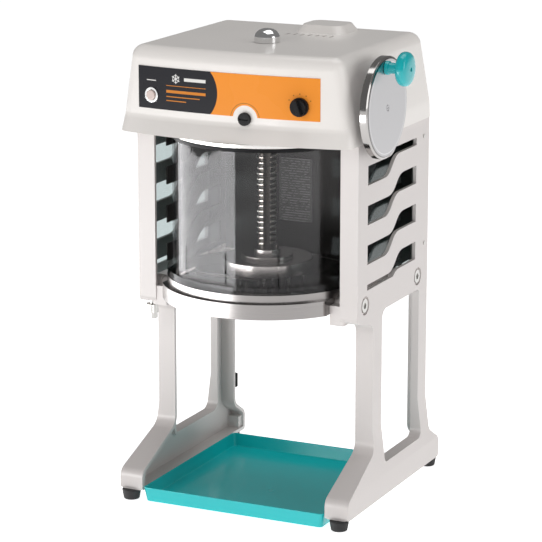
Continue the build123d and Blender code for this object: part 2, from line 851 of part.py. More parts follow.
with BuildPart() as motor:
    with BuildSketch(level(motor_low, motor_x, motor_y)):
        Circle(motor_r)
    extrude(amount=motor_high)
    chamfer(motor.edges().filter_by(GeomType.CIRCLE).sort_by(Axis.Z)[-1], 5.0)
    with BuildSketch(level(motor_low + 8.0, motor_x, motor_y)):
        with PolarLocations(motor_r, 24):
            Rectangle(3.0, 4.0, mode=Mode.ADD)
    extrude(amount=motor_high - 20.0, mode=Mode.SUBTRACT)
    with BuildSketch(level(motor_low, motor_x, motor_y)):
        Circle(6.0 + running_gap)
    extrude(amount=42.0, mode=Mode.SUBTRACT)
keep(motor, "motor")

bracket_thick = 4.0
motor_posts = [(motor_x + end * 62.0, motor_y + back) for end in (-1, 1) for back in (2.0, 40.0)]
with BuildPart() as motor_bracket:
    with BuildSketch(level(motor_low - bracket_thick, motor_x, motor_y + 4.0)):
        RectangleRounded(136.0, 84.0, 6.0)
        with Locations((0, -4.0)):
            Circle(14.0, mode=Mode.SUBTRACT)
    extrude(amount=bracket_thick)
keep(motor_bracket, "motor_bracket")

bridge_posts = [(side * 96.0, at) for side, hand in sides for at in (-36.0, -99.0)]
with BuildPart() as standoffs:
    with BuildSketch(level(base_top)):
        with Locations(*motor_posts):
            RegularPolygon(5.0, 6)
    extrude(amount=motor_low - bracket_thick - base_top)
    with BuildSketch(level(base_top)):
        with Locations(*bridge_posts):
            RegularPolygon(5.5, 6)
    extrude(amount=bridge_low - base_top)
keep(standoffs, "standoffs")

with BuildPart() as gear_bracket:
    with BuildSketch(level(bridge_low, 0, -67.5)):
        RectangleRounded(206.0, 78.0, 6.0)
        with Locations((0, screw_y + 67.5)):
            Circle(screw_r + 2.0, mode=Mode.SUBTRACT)
    extrude(amount=bridge_thick)
keep(gear_bracket, "gear_bracket")

# ---------------------------------------------------------------- hand feed gears
nut_r = gear_module * nut_teeth / 2
idler_r = gear_module * idler_teeth / 2
idler_x = sqrt((nut_r + idler_r) ** 2 - (screw_y - wheel_y) ** 2)
mesh_angle = degrees(atan2(wheel_y - screw_y, idler_x))
addendum = 0.85 * gear_module
dedendum = 1.15 * gear_module
gear_top = gear_low + gear_thick
crown_r = pinion_r * crown_teeth / pinion_teeth
tooth_deep = 4.4
crown_face = 5.0
pinion_tip = wheel_z - gear_top - 0.5
pinion_root = pinion_tip - tooth_deep
crown_high = wheel_z - gear_top - pinion_root - 0.4

with BuildPart() as feed_nut:
    with BuildSketch(level(gear_low, 0, screw_y)):
        Circle(nut_r - dedendum)
        gear_teeth(nut_teeth, nut_r - dedendum, nut_r + addendum, 3.3, 1.1, mesh_angle)
    extrude(amount=gear_thick)
    with BuildSketch(level(gear_low, 0, screw_y)):
        Circle(20.0)
    extrude(amount=nut_top - gear_low)
    with BuildSketch(level(gear_low, 0, screw_y)):
        Circle(screw_r + running_gap)
    extrude(amount=nut_top - gear_low, mode=Mode.SUBTRACT)
keep(feed_nut, "feed_nut")

with BuildPart() as nut_housing:
    with BuildSketch(level(gear_top + 4.0, 0, screw_y)):
        Circle(29.0)
        Circle(20.0 + running_gap, mode=Mode.SUBTRACT)
    extrude(amount=bridge_low - gear_top - 4.0)
keep(nut_housing, "nut_housing")

with BuildPart() as idler_gear:
    with BuildSketch(level(gear_low, idler_x, wheel_y)):
        Circle(idler_r - dedendum)
        gear_teeth(
            idler_teeth,
            idler_r - dedendum,
            idler_r + addendum,
            3.3,
            1.1,
            mesh_angle + 180.0 + 180.0 / idler_teeth,
        )
    extrude(amount=gear_thick)
    with BuildSketch(level(gear_top, idler_x, wheel_y)):
        with PolarLocations(0, crown_teeth, start_angle=180.0 / crown_teeth):
            inner = crown_r - crown_face / 2
            outer = crown_r + crown_face / 2
            half = radians(360.0 / crown_teeth * 0.16)
            Polygon(
                (inner, -inner * half),
                (outer, -outer * half),
                (outer, outer * half),
                (inner, inner * half),
                align=None,
            )
    extrude(amount=crown_high)
    with BuildSketch(level(gear_low, idler_x, wheel_y)):
        Circle(5.0 + running_gap)
    extrude(amount=gear_thick + crown_high, mode=Mode.SUBTRACT)
keep(idler_gear, "idler_gear")

with BuildPart() as idler_pin:
    with BuildSketch(level(gear_low - 3.0, idler_x, wheel_y)):
        Circle(8.0)
    extrude(amount=3.0 - running_gap)
    with BuildSketch(level(gear_low - 3.0, idler_x, wheel_y)):
        Circle(5.0)
    extrude(amount=bridge_low - gear_low + 3.0)
keep(idler_pin, "idler_pin")

pinion_start = idler_x + crown_r - crown_face / 2
with BuildPart() as wheel_pinion:
    with BuildSketch(across(pinion_start, wheel_y, wheel_z)):
        Circle(pinion_root)
        gear_teeth(pinion_teeth, pinion_root, pinion_tip, 1.9, 0.9, -90.0)
        Circle(wheel_shaft_r + seat_gap, mode=Mode.SUBTRACT)
    extrude(amount=crown_face)
keep(wheel_pinion, "wheel_pinion")

with BuildPart() as wheel_shaft:
    with BuildSketch(across(pinion_start, wheel_y, wheel_z)):
        Circle(wheel_shaft_r)
    extrude(amount=wheel_face - 4.0 - pinion_start)
keep(wheel_shaft, "wheel_shaft")

bearing_start = pinion_start + crown_face + 1.0
with BuildPart() as shaft_bearing:
    with BuildSketch(across(bearing_start, wheel_y, (wheel_z - 10.0 + bridge_low) / 2)):
        Rectangle(18.0, bridge_low - wheel_z + 10.0)
    extrude(amount=8.0)
    with BuildSketch(across(bearing_start, wheel_y, wheel_z)):
        Circle(wheel_shaft_r + running_gap)
    extrude(amount=8.0, mode=Mode.SUBTRACT)
keep(shaft_bearing, "shaft_bearing")

with BuildPart() as shaft_bush:
    with BuildSketch(across(head_side - 20.0, wheel_y, wheel_z)):
        Circle(11.0)
    extrude(amount=19.0)
    with BuildSketch(across(head_side - 20.0, wheel_y, wheel_z)):
        Circle(15.0)
    extrude(amount=3.0)
    with BuildSketch(across(head_side - 20.0, wheel_y, wheel_z)):
        Circle(wheel_shaft_r + running_gap)
    extrude(amount=19.0, mode=Mode.SUBTRACT)
keep(shaft_bush, "shaft_bush")

# ---------------------------------------------------------------- handwheel
with BuildPart() as handwheel:
    with BuildSketch(across(wheel_back, wheel_y, wheel_z)):
        Circle(wheel_r)
    extrude(amount=wheel_face - wheel_back)
    chamfer(
        handwheel.edges().filter_by(GeomType.CIRCLE).sort_by(Axis.X)[-1],
        2.6,
        wheel_r - wheel_face_r,
    )
    with BuildSketch(across(wheel_back, wheel_y, wheel_z)):
        Circle(wheel_r - 8.0)
    extrude(amount=4.5, mode=Mode.SUBTRACT)
    with BuildSketch(across(wheel_back - 4.0, wheel_y, wheel_z)):
        Circle(15.0)
    extrude(amount=9.0)
    with BuildSketch(across(wheel_back - 4.0, wheel_y, wheel_z)):
        Circle(wheel_shaft_r + seat_gap)
    extrude(amount=wheel_face - wheel_back, mode=Mode.SUBTRACT)
    with BuildSketch(across(wheel_back, crank_y, crank_z)):
        Circle(crank_pin_r + seat_gap)
    extrude(amount=20.0, mode=Mode.SUBTRACT)
    with BuildSketch(across(wheel_face - 0.6, wheel_y, wheel_z)):
        Circle(4.6)
        Circle(3.9, mode=Mode.SUBTRACT)
        Rectangle(5.5, 1.2)
    extrude(amount=5.0, mode=Mode.SUBTRACT)
keep(handwheel, "handwheel")

with BuildPart() as crank_pin:
    with BuildSketch(across(wheel_back + 4.5, crank_y, crank_z)):
        Circle(crank_pin_r)
    extrude(amount=wheel_face - wheel_back - 4.5 + crank_long - 2.5)
    with BuildSketch(across(wheel_face + crank_long - 5.0, crank_y, crank_z)):
        Circle(3.8)
    extrude(amount=2.5)
keep(crank_pin, "crank_pin")

with BuildPart() as crank_knob:
    head_start = crank_long - crank_head_thick
    with BuildSketch(Plane(origin=(wheel_face, crank_y, crank_z), x_dir=(1, 0, 0), z_dir=(0, -1, 0))):
        with BuildLine():
            Polyline(
                (free_gap, crank_pin_r + running_gap),
                (free_gap, crank_stem_r),
                (head_start - 4.0, crank_stem_r),
                (head_start - 2.0, crank_stem_r + 3.0),
                (head_start, crank_stem_r + 6.0),
            )
            ThreePointArc(
                (head_start, crank_stem_r + 6.0),
                (head_start + 2.5, crank_head_r - 3.5),
                (head_start + 6.0, crank_head_r),
            )
            ThreePointArc(
                (head_start + 6.0, crank_head_r),
                (head_start + 10.5, crank_head_r - 2.4),
                (crank_long - 1.6, crank_head_r - 8.0),
            )
            Polyline(
                (crank_long - 1.6, crank_head_r - 8.0),
                (crank_long, 4.6),
                (crank_long - 5.3, 4.6),
                (crank_long - 5.3, crank_pin_r + running_gap),
                (free_gap, crank_pin_r + running_gap),
            )
        make_face()
    revolve(axis=Axis((0, crank_y, crank_z), (1, 0, 0)))
keep(crank_knob, "crank_knob")

# ---------------------------------------------------------------- cord fittings
with BuildPart() as cord_gland:
    with BuildSketch(Plane(origin=(-100.0, rear_y - 12, gland_z), x_dir=(1, 0, 0), z_dir=(0, 1, 0))):
        Circle(9.0)
    extrude(amount=26.0)
    with BuildSketch(Plane(origin=(-100.0, rear_y + 0.3, gland_z), x_dir=(1, 0, 0), z_dir=(0, 1, 0))):
        RegularPolygon(13.0, 6)
    extrude(amount=5.0)
keep(cord_gland, "cord_gland")

with BuildPart() as cord_clamp:
    with BuildSketch(Plane(origin=(-145.0, panel_rear, 96.0), x_dir=(1, 0, 0), z_dir=(0, 1, 0))):
        Rectangle(10.0, 26.0)
    extrude(amount=2.4)
    with BuildSketch(level(86.0, -145.0, panel_rear)):
        with Locations((0, 7.0)):
            Circle(6.0)
    extrude(amount=20.0)
keep(cord_clamp, "cord_clamp")

# ---------------------------------------------------------------- drip tray
with BuildPart() as drip_tray:
    tray_mid = (tray_front + tray_rear) / 2
    tray_long = tray_rear - tray_front
    for inset, low, how in ((0.0, tray_low, Mode.ADD), (tray_wall, tray_low + tray_wall, Mode.SUBTRACT)):
        rise = tray_draft * (tray_top - low) / (tray_top - tray_low)
        with BuildSketch(level(low, 0, tray_mid)):
            RectangleRounded(2 * (tray_half - rise - inset), tray_long - 2 * (rise + inset), 6.0 - inset)
        with BuildSketch(level(tray_top, 0, tray_mid)):
            RectangleRounded(2 * (tray_half - inset), tray_long - 2 * inset, 6.0 - inset)
        loft(mode=how)
keep(drip_tray, "drip_tray")
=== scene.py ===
"""Looks of a block ice shaver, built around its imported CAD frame."""

import json
import logging
from dataclasses import dataclass
from enum import Enum
from math import cos, pi, radians, sin
from typing import Any, Mapping, Optional, Sequence, Union

import bpy
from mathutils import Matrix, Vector


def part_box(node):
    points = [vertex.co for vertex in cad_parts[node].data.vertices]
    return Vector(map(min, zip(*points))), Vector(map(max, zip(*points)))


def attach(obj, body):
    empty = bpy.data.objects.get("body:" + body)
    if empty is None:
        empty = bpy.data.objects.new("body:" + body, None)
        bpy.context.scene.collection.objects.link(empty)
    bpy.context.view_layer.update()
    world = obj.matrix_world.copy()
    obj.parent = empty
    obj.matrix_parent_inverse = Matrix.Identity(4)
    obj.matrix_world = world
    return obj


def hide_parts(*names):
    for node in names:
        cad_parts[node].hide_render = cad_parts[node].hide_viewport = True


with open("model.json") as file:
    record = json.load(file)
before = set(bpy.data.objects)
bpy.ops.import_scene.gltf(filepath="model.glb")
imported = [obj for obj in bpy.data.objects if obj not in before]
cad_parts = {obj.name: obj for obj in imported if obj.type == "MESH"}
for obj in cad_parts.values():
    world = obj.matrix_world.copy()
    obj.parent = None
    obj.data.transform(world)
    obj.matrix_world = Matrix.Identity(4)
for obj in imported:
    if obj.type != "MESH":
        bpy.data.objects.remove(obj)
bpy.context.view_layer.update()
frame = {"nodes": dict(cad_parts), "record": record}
LOG = logging.getLogger("ice_shaver")
MM = 0.001
PRINT_EDGE = 0.0003  # width over which a printed mark fades, in metres
SMOOTH_ANGLE = radians(42)  # edges flatter than this are shaded smooth
Colour = tuple[float, float, float]
Number = Union[float, "Field"]


class Axis(Enum):
    """The axis that a turned or brushed pattern runs round or along."""

    X = 0
    Y = 1
    Z = 2


class Seen(Enum):
    """Which rays find a light."""

    ALL = 0
    MIRRORED = 1
    DIFFUSE = 2


class Grain(Enum):
    """How a metal surface was worked."""

    BANDED = "fine lines round a wall, square to the axis"
    CAST = "fine irregular grain"


# ------------------------------------------------------------------ shader graphs
class Field:
    """One output socket of a material, with arithmetic that adds Math nodes."""

    def __init__(self, shader: "Shader", socket: bpy.types.NodeSocket) -> None:
        """Wraps a socket.

        Args:
            shader: the material that the socket belongs to.
            socket: the output socket.
        """
        self.shader = shader
        self.socket = socket

    def _math(self, operation: str, first: Number, second: Number = 0.0) -> "Field":
        """Adds one Math node and returns its result."""
        return self.shader.node("ShaderNodeMath", {"operation": operation}, {0: first, 1: second})

    def __add__(self, other: Number) -> "Field":
        """Sum."""
        return self._math("ADD", self, other)

    def __sub__(self, other: Number) -> "Field":
        """Difference."""
        return self._math("SUBTRACT", self, other)

    def __rsub__(self, other: Number) -> "Field":
        """Difference, reflected."""
        return self._math("SUBTRACT", other, self)

    def __mul__(self, other: Number) -> "Field":
        """Product."""
        return self._math("MULTIPLY", self, other)

    __radd__ = __add__
    __rmul__ = __mul__

    def __truediv__(self, other: Number) -> "Field":
        """Quotient."""
        return self._math("DIVIDE", self, other)

    def __abs__(self) -> "Field":
        """Absolute value."""
        return self._math("ABSOLUTE", self)

    def root(self) -> "Field":
        """Square root."""
        return self._math("SQRT", self)

    def least(self, other: Number) -> "Field":
        """The smaller of two values."""
        return self._math("MINIMUM", self, other)

    def most(self, other: Number) -> "Field":
        """The larger of two values."""
        return self._math("MAXIMUM", self, other)

    def floor(self) -> "Field":
        """The whole number at or below the value."""
        return self._math("FLOOR", self)

    def wrap(self, period: float) -> "Field":
        """The remainder after division by a period, never negative."""
        return self._math("FLOORED_MODULO", self, period)

    def below(self, edge: Number, soft: float) -> "Field":
        """A mask that is 1 where the value is under an edge and fades over a short width.

        Args:
            edge: the value at which the mask is one half.
            soft: the width of the fade.

        Returns:
            The mask, from 0 to 1.
        """
        return ((edge - self) / soft + 0.5).most(0.0).least(1.0)


class Shader:
    """A node material round one Principled shader."""

    def __init__(self, name: str, colour: Colour, **constants: float) -> None:
        """Starts a material.

        Args:
            name: the material's name.
            colour: its plain base colour.
            constants: values for other sockets, named with underscores for spaces.
        """
        self.material = bpy.data.materials.new(name)
        self.material.use_nodes = True
        self.tree = self.material.node_tree
        self.bsdf = self.tree.nodes["Principled BSDF"]
        self.output = self.tree.nodes["Material Output"]
        self.bsdf.inputs["Base Color"].default_value = (*colour, 1.0)
        for socket, value in constants.items():
            self.bsdf.inputs[socket.replace("_", " ")].default_value = value
        self._place: Optional[tuple[Field, Field, Field]] = None

    def node(
        self,
        kind: str,
        settings: Optional[Mapping[str, Any]] = None,
        inputs: Optional[Mapping[Union[int, str], Any]] = None,
        output: Union[int, str] = 0,
    ) -> Field:
        """Adds a node.

        Args:
            kind: the node's type name.
            settings: properties to set before its sockets are filled.
            inputs: values or links for its input sockets.
            output: the output socket to return.

        Returns:
            The chosen output as a Field.
        """
        made = self.tree.nodes.new(kind)
        for name, value in (settings or {}).items():
            setattr(made, name, value)
        for key, value in (inputs or {}).items():
            socket = made.inputs[key]
            if isinstance(value, Field):
                self.tree.links.new(value.socket, socket)
            else:
                socket.default_value = value
        return Field(self, made.outputs[output])

    def place(self) -> tuple[Field, Field, Field]:
        """The object coordinates, in metres, as three fields."""
        if self._place is None:
            at = self.node("ShaderNodeTexCoord", output="Object")
            split = self.node("ShaderNodeSeparateXYZ", None, {0: at})
            self._place = tuple(Field(self, socket) for socket in split.socket.node.outputs)
        return self._place

    def vector(self, x: Number, y: Number = 0.0, z: Number = 0.0) -> Field:
        """A vector of three values."""
        return self.node("ShaderNodeCombineXYZ", None, {0: x, 1: y, 2: z})

    def noise(self, scale: float, detail: float = 2.0, at: Optional[Field] = None) -> Field:
        """Smooth noise from 0 to 1.

        Args:
            scale: how many features there are to a metre.
            detail: octaves of finer noise.
            at: where to read it, or the object coordinates.

        Returns:
            The noise value.
        """
        where = at or self.vector(*self.place())
        return self.node(
            "ShaderNodeTexNoise", None, {"Vector": where, "Scale": scale, "Detail": detail}
        )

    def mix(self, low: Any, high: Any, factor: Number) -> Field:
        """A colour between two colours.

        Args:
            low: colour where the factor is 0, as a tuple or a Field.
            high: colour where the factor is 1.
            factor: the mask.

        Returns:
            The mixed colour.
        """
        sides = [(*c, 1.0) if isinstance(c, tuple) else c for c in (low, high)]
        return self.node(
            "ShaderNodeMix", {"data_type": "RGBA"}, {0: factor, 6: sides[0], 7: sides[1]}, 2
        )

    def feed(self, socket: str, value: Field) -> "Shader":
        """Links a field to a socket of the Principled shader."""
        self.tree.links.new(value.socket, self.bsdf.inputs[socket])
        return self

    def bump(self, height: Field, depth: float, strength: float = 1.0) -> "Shader":
        """Raises the surface by a height field.

        Args:
            height: the field, from 0 to 1.
            depth: the real height of 1, in metres.
            strength: how much of it shows.

        Returns:
            The shader itself.
        """
        normal = self.node(
            "ShaderNodeBump", None, {"Height": height, "Distance": depth, "Strength": strength}
        )
        return self.feed("Normal", normal)


# ------------------------------------------------------------------ finishes
@dataclass(frozen=True)
class Finish:
    """What every finish has: a name and a base colour."""

    name: str
    colour: Colour

    def shade(self, by: float) -> Colour:
        """The base colour, lighter or darker by a factor."""
        return tuple(min(1.0, part * by) for part in self.colour)


@dataclass(frozen=True)
class Coating(Finish):
    """Paint or moulded plastic: even colour, faint mottling and a fine skin."""

    roughness: float = 0.4
    mottle: float = 0.03
    skin: float = 700.0
    skin_depth: float = 0.00002
    coat: float = 0.0
    gloss: float = 0.5

    def build(self) -> bpy.types.Material:
        """Makes the material."""
        shader = Shader(
            self.name,
            self.colour,
            Roughness=self.roughness,
            Coat_Weight=self.coat,
            Specular_IOR_Level=self.gloss,
        )
        cloud = shader.noise(9.0, 3.0)
        tone = shader.mix(self.shade(1 - self.mottle), self.shade(1 + self.mottle), cloud)
        shader.feed("Base Color", tone)
        shader.feed("Roughness", cloud * 0.08 + (self.roughness - 0.04))
        shader.bump(shader.noise(self.skin, 2.0), self.skin_depth, 0.35)
        return shader.material


@dataclass(frozen=True)
class Metal(Finish):
    """Bare or plated metal with the marks of how it was worked."""

    roughness: float = 0.25
    grain: Grain = Grain.CAST
    axis: Axis = Axis.Z
    centre: tuple[float, float, float] = (0.0, 0.0, 0.0)
    pitch: float = 900.0
    depth: float = 0.000015

    def build(self) -> bpy.types.Material:
        """Makes the material."""
        shader = Shader(self.name, self.colour, Roughness=self.roughness, Metallic=1.0)
        place = shader.place()
        if self.grain is Grain.BANDED:
            off = [at - middle for at, middle in zip(place, self.centre)]
            along = off.pop(self.axis.value)
            at = shader.vector(along * self.pitch, off[0] * 6.0, off[1] * 6.0)
        else:
            at = shader.vector(*(part * self.pitch * 0.4 for part in place))
        lines = shader.noise(1.0, 3.0, at)
        cloud = shader.noise(14.0, 3.0)
        shader.feed("Base Color", shader.mix(self.shade(0.86), self.shade(1.08), lines))
        shader.feed("Roughness", lines * 0.12 + cloud * 0.08 + (self.roughness - 0.1))
        shader.bump(lines, self.depth, 0.6)
        return shader.material


@dataclass(frozen=True)
class WheelMetal(Finish):
    """A chromed wheel: satin turned face, a fine ring line near its edge, a bright rim and a
    painted shade ring where the face meets the rim.
    """

    centre: tuple[float, float, float] = (0.0, 0.0, 0.0)
    face_radius: float = 0.0645
    line_radius: float = 0.0612
    rim_colour: Colour = (0.42, 0.405, 0.395)
    mark_radius: float = 0.0035
    line_half: float = 0.0004
    ring_pitch: float = 1600.0
    band_pitch: float = 1400.0

    def build(self) -> bpy.types.Material:
        """Makes the material."""
        shader = Shader(self.name, self.colour, Metallic=1.0)
        x, y, z = (at - middle for at, middle in zip(shader.place(), self.centre))
        radius = (y * y + z * z).root()
        rim = 1 - radius.below(self.face_radius, 0.0006)
        turned = shader.noise(1.0, 3.0, shader.vector(radius * self.ring_pitch, x * 30.0))
        bands = shader.noise(1.0, 2.0, shader.vector(y * 8.0, z * 8.0, x * self.band_pitch))
        lines = turned * (1 - rim) + bands * rim
        line = abs(radius - self.line_radius).below(self.line_half, PRINT_EDGE)
        mark = abs(radius - self.mark_radius).below(self.line_half, PRINT_EDGE)
        # Painted shade: a dark ring just outside the face, standing for the shadow side of its
        # bevel
        edge = abs(radius - self.face_radius - 0.0008).below(0.0007, 0.0004)
        face = shader.mix(self.shade(0.9), self.shade(1.08), turned)
        tone = shader.mix(face, self.rim_colour, rim)
        tone = shader.mix(tone, self.shade(1.5), line)
        # Darkens the painted bevel shade ring fully and the real centre mark more faintly
        tone = shader.mix(tone, self.shade(0.25), (edge + mark * 0.6).least(1.0) * 0.75)
        shader.feed("Base Color", tone)
        shader.feed("Roughness", (1 - rim) * 0.2 + lines * 0.08 + 0.06)
        shader.bump(lines, 0.000004, 0.5)
        return shader.material


@dataclass(frozen=True)
class ThreadMetal(Finish):
    """Screw steel: plain bright steel at the thread's crest, darkened down at its core as painted
    shade between the turns.
    """

    centre: tuple[float, float, float] = (0.0, 0.0, 0.0)
    crest: float = 0.0134
    crest_fade: float = 0.0012
    bright: Colour = (0.72, 0.69, 0.64)

    def build(self) -> bpy.types.Material:
        """Makes the material."""
        shader = Shader(self.name, self.colour, Metallic=1.0)
        x, y, z = (at - middle for at, middle in zip(shader.place(), self.centre))
        # Painted shade: the core between the thread's turns is near-black, so the crests stand out
        # like glints
        core = (x * x + y * y).root().below(self.crest, self.crest_fade)
        lines = shader.noise(1.0, 2.0, shader.vector(x * 20.0, y * 20.0, z * 900.0))
        crest_steel = shader.mix(self.bright, self.shade(2.0), lines * 0.5)
        shader.feed("Base Color", shader.mix(crest_steel, self.colour, core))
        shader.feed("Roughness", core * 0.15 + lines * 0.08 + 0.16)
        shader.bump(lines, 0.000004, 0.5)
        return shader.material


@dataclass(frozen=True)
class Rubber(Finish):
    """Dull black rubber with a dusty bloom."""

    def build(self) -> bpy.types.Material:
        """Makes the material."""
        shader = Shader(self.name, self.colour, Roughness=0.75)
        dust = shader.noise(60.0, 4.0)
        shader.feed("Base Color", shader.mix(self.colour, self.shade(2.2), dust * dust))
        shader.feed("Roughness", dust * 0.2 + 0.6)
        shader.bump(shader.noise(1500.0, 2.0), 0.00004, 0.5)
        return shader.material


@dataclass(frozen=True)
class ClearSheet(Finish):
    """Clear or smoked sheet: it lets the back through and mirrors the room at a slant."""

    tint: Colour = (0.7, 0.7, 0.7)
    straight_gloss: float = 0.05
    slant_gloss: float = 0.9

    def build(self) -> bpy.types.Material:
        """Makes the material."""
        shader = Shader(self.name, self.colour, Roughness=0.03, Metallic=1.0)
        smear = shader.noise(7.0, 3.0)
        shader.feed("Roughness", smear * 0.04 + 0.02)
        through = shader.node("ShaderNodeBsdfTransparent", None, {"Color": (*self.tint, 1.0)})
        slant = shader.node("ShaderNodeLayerWeight", None, {"Blend": 0.5}, "Facing")
        steep = slant * slant * slant * slant * slant
        factor = steep * self.slant_gloss + self.straight_gloss
        gloss = shader.node(
            "ShaderNodeMixShader",
            None,
            {0: factor, 1: through, 2: Field(shader, shader.bsdf.outputs[0])},
        )
        shader.tree.links.new(gloss.socket, shader.output.inputs["Surface"])
        return shader.material


@dataclass(frozen=True)
class PanelPrint(Finish):
    """The control plate: a black end with a bowed edge, an orange field and plain marks."""

    black: Colour = (0.016, 0.016, 0.02)
    pale: Colour = (0.75, 0.74, 0.72)
    rim: Colour = (0.25, 0.1, 0.02)
    edge_centre: tuple[float, float] = (-0.0634, 0.5825)
    edge_radius: float = 0.0439
    notch: tuple[float, float] = (0.021, 0.5516)
    arc_radius: float = 0.0208
    arc_half: float = 0.0005
    switch: tuple[float, float] = (0.098, 0.5724)
    tick_radius: float = 0.017
    tick_size: float = 0.0009
    badge: tuple[float, float] = (-0.083, 0.597)
    pale_bars: tuple[tuple[float, ...], ...] = (
        (-0.0535, 0.597, 0.0165, 0.0022),
        (-0.122, 0.5925, 0.0075, 0.0006),
    )
    warm_bars: tuple[tuple[float, ...], ...] = (
        (-0.0675, 0.5873, 0.0305, 0.0004),
        (-0.0675, 0.5795, 0.0305, 0.0019),
        (-0.072, 0.5725, 0.026, 0.0006),
        (-0.0825, 0.567, 0.0155, 0.0006),
    )

    @staticmethod
    def _ring(x: Field, z: Field, at: tuple[float, float]) -> Field:
        """Distance from a point of the plate."""
        across, up = x - at[0], z - at[1]
        return (across * across + up * up).root()

    @staticmethod
    def _bar(x: Field, z: Field, box: tuple[float, ...]) -> Field:
        """A mask of a rectangle, given by its middle and its half sizes."""
        across = abs(x - box[0]).below(box[2], PRINT_EDGE)
        return across * abs(z - box[1]).below(box[3], PRINT_EDGE)

    @classmethod
    def _bars(cls, x: Field, z: Field, boxes: Sequence[tuple[float, ...]]) -> Field:
        """A mask of several rectangles."""
        mask = cls._bar(x, z, boxes[0])
        for box in boxes[1:]:
            mask = mask.most(cls._bar(x, z, box))
        return mask

    def build(self) -> bpy.types.Material:
        """Makes the material."""
        shader = Shader(self.name, self.colour, Roughness=0.28, Specular_IOR_Level=0.1)
        x, _, z = shader.place()
        bowed = self._ring(x, z, self.edge_centre).below(self.edge_radius, 0.0004)
        black = x.below(self.edge_centre[0], 0.0004).most(bowed)
        cloud = shader.noise(12.0, 2.0)
        field = shader.mix(self.shade(0.95), self.shade(1.04), cloud)
        tone = shader.mix(field, self.black, black)
        arc = abs(self._ring(x, z, self.notch) - self.arc_radius)
        arc = arc.below(self.arc_half, PRINT_EDGE)
        tone = shader.mix(tone, self.rim, arc * (1 - black) * 0.7)
        # Six-armed frost mark and plain bars in place of any lettering
        dx, dz = x - self.badge[0], z - self.badge[1]
        star: Number = 0.0
        for arm in range(3):
            turn = arm * pi / 3 + pi / 6
            along = dx * cos(turn) + dz * sin(turn)
            side = dz * cos(turn) - dx * sin(turn)
            mark = abs(side).below(0.0006, PRINT_EDGE) * abs(along).below(0.0065, PRINT_EDGE)
            tip = abs(abs(along) - 0.0045).below(0.0005, PRINT_EDGE)
            tip = tip * abs(side).below(0.0022, PRINT_EDGE)
            star = (mark + tip).most(star)
        tone = shader.mix(tone, self.pale, star.most(self._bars(x, z, self.pale_bars)))
        tone = shader.mix(tone, self.shade(0.75), self._bars(x, z, self.warm_bars))
        ticks: Number = 0.0
        for step in range(5):
            turn = radians(150 - 30 * step)
            out, up = self.tick_radius * cos(turn), self.tick_radius * sin(turn)
            tick = self._ring(x, z, (self.switch[0] + out, self.switch[1] + up))
            ticks = tick.below(self.tick_size, PRINT_EDGE).most(ticks)
        tone = shader.mix(tone, self.rim, ticks * 0.8)
        shader.feed("Base Color", tone)
        shader.feed("Roughness", black * 0.08 + cloud * 0.06 + 0.24)
        return shader.material


@dataclass(frozen=True)
class NoticePrint(Finish):
    """A pale sheet with rows of plain grey dashes."""

    ink: Colour = (0.4, 0.4, 0.4)
    row: float = 0.0036
    half_high: float = 0.0006
    middle: float = -0.026
    half_wide: float = 0.0225
    letters: float = 260.0
    row_shift: float = 7.3
    filled: float = 0.56

    def build(self) -> bpy.types.Material:
        """Makes the material."""
        shader = Shader(self.name, self.colour, Roughness=0.5)
        x, _, z = shader.place()
        rows = abs(z.wrap(self.row) - self.row / 2).below(self.half_high, PRINT_EDGE)
        level = (z / self.row).floor()
        gaps = shader.noise(1.0, 0.0, shader.vector(x * self.letters, level * self.row_shift))
        words = gaps.below(self.filled, 0.04)
        inside = abs(x - self.middle).below(self.half_wide, PRINT_EDGE)
        shader.feed("Base Color", shader.mix(self.colour, self.ink, rows * words * inside))
        shader.feed("Roughness", shader.noise(30.0) * 0.1 + 0.45)
        return shader.material


